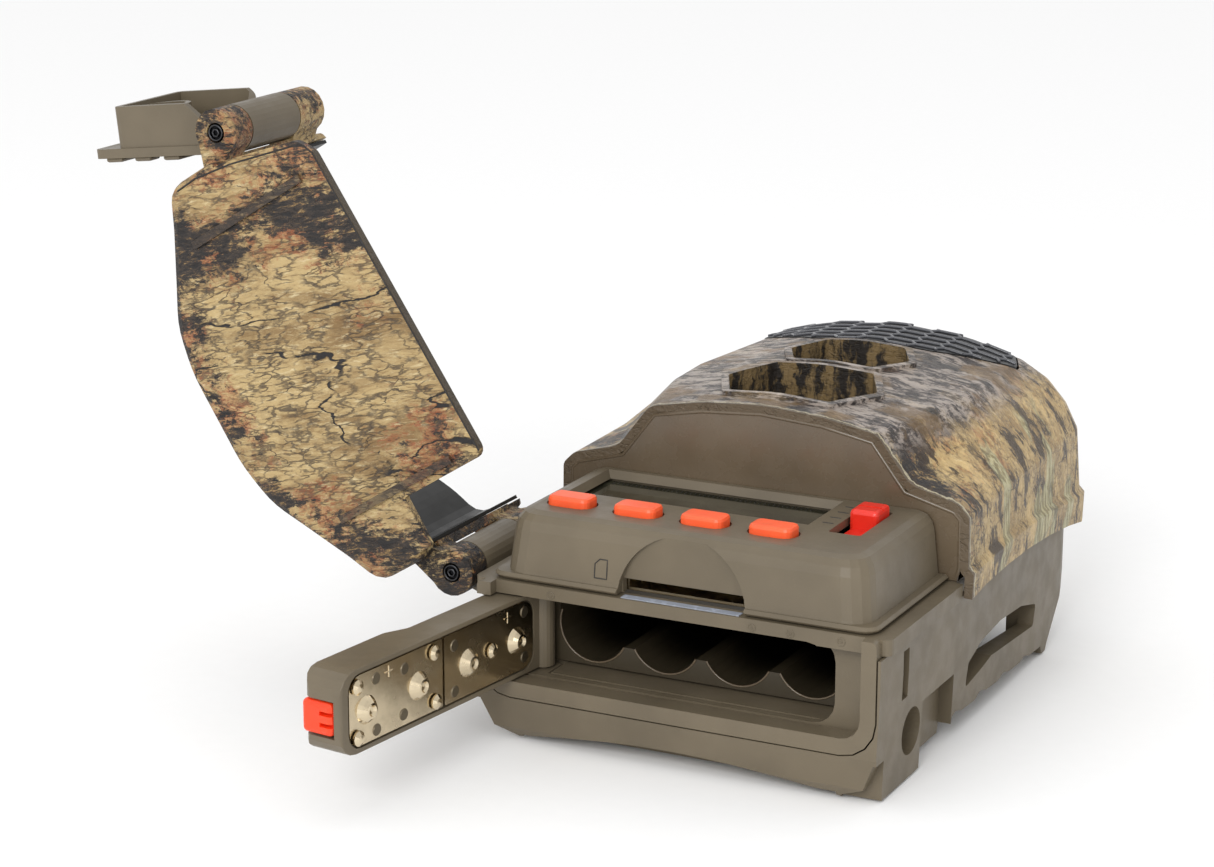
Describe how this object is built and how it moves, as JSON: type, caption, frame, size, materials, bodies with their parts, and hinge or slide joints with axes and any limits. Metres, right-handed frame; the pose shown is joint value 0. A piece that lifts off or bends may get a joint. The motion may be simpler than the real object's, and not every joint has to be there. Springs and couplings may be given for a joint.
{
  "type": "trail camera",
  "caption": "Weatherproof camera for watching game, lying on its back with its hinged front cover, padlock lever and battery door open over the control panel and battery tubes.",
  "frame": {"origin": "middle of the flat pad under the battery bay, on the plane that the camera's back rests on", "axes": "+Z out of the lens side, away from the tree; -Y towards the control panel and battery end, which is the bottom of a hung camera; +X towards the padlock side"},
  "size_m": [0.1791, 0.1714, 0.119],
  "materials": {
    "tan_plastic": "fine-grained moulded plastic, grey-tan",
    "dark_plastic": "smooth moulded plastic, dark tan",
    "camo": "matt bark-pattern camouflage film over moulded plastic",
    "orange_rubber": "satin silicone rubber, orange",
    "red_plastic": "semi-gloss plastic, red-orange",
    "steel": "nickel-plated sheet and wire",
    "black_steel": "black oxide",
    "black_plastic": "matt black plastic",
    "lcd_glass": "dark liquid-crystal panel behind a clear window",
    "dark_glass": "polished dark window",
    "milky_plastic": "milky moulded sensor lens",
    "circuit_board": "green solder mask"
  },
  "bodies": {
    "camera": {"back_case": "tan_plastic", "mid_frame": "tan_plastic", "battery_tray": "dark_plastic", "control_panel": "tan_plastic", "battery_spring_1": "steel", "battery_spring_2": "steel", "rear_contact_1": "steel", "rear_contact_2": "steel", "lcd_display": "lcd_glass", "button_board": "circuit_board", "sd_socket": "steel", "main_board": "circuit_board", "front_hood": "camo", "hood_liner": "tan_plastic", "led_cover": "black_plastic", "led_board": "circuit_board", "pir_lens": "milky_plastic", "lens_window": "dark_glass", "lens_barrel": "black_plastic", "pir_sensor": "steel", "door_hinge_pin": "steel", "cover_hinge_pin": "black_steel", "case_screw_1": "black_steel", "case_screw_2": "black_steel", "case_screw_3": "black_steel", "case_screw_4": "black_steel"},
    "cover": {"cover_shell": "camo", "cover_liner": "tan_plastic", "latch_pin": "black_steel"},
    "lever": {"latch_lever": "tan_plastic"},
    "battery_door": {"battery_door": "tan_plastic", "door_contact_left": "steel", "door_contact_right": "steel", "door_screw_1": "steel", "door_screw_2": "steel", "door_screw_3": "steel", "door_screw_4": "steel", "door_screw_5": "steel"},
    "door_latch": {"battery_door_latch": "red_plastic"},
    "mode_switch": {"mode_switch": "red_plastic"},
    "button_1": {"button_1": "orange_rubber"},
    "button_2": {"button_2": "orange_rubber"},
    "button_3": {"button_3": "orange_rubber"},
    "button_4": {"button_4": "orange_rubber"}
  },
  "joints": [
    {"name": "cover_hinge", "type": "hinge", "parent": "camera", "child": "cover", "pos_m": [-0.0487, -0.005, 0.0317], "axis": [0, -1, 0], "range_deg": [-122, 0]},
    {"name": "lever_hinge", "type": "hinge", "parent": "cover", "child": "lever", "pos_m": [-0.10031, -0.005, 0.1143], "axis": [0, -1, 0], "range_deg": [-154.5, 0]},
    {"name": "battery_door_hinge", "type": "hinge", "parent": "camera", "child": "battery_door", "pos_m": [-0.033, -0.0117, 0.02], "axis": [0, 0, -1], "range_deg": [-97.5, 4]},
    {"name": "door_latch_slide", "type": "slide", "parent": "battery_door", "child": "door_latch", "axis": [-0.1305, -0.9914, 0], "range_m": [-0.0012, 0], "stiffness_N_per_m": 400},
    {"name": "button_1_press", "type": "slide", "parent": "camera", "child": "button_1", "axis": [0, 0, 1], "range_m": [-0.001, 0], "stiffness_N_per_m": 400},
    {"name": "button_2_press", "type": "slide", "parent": "camera", "child": "button_2", "axis": [0, 0, 1], "range_m": [-0.001, 0], "stiffness_N_per_m": 400},
    {"name": "button_3_press", "type": "slide", "parent": "camera", "child": "button_3", "axis": [0, 0, 1], "range_m": [-0.001, 0], "stiffness_N_per_m": 400},
    {"name": "button_4_press", "type": "slide", "parent": "camera", "child": "button_4", "axis": [0, 0, 1], "range_m": [-0.001, 0], "stiffness_N_per_m": 400},
    {"name": "mode_switch_slide", "type": "slide", "parent": "camera", "child": "mode_switch", "axis": [0, 1, 0], "range_m": [-0.009, 0]}
  ]
}
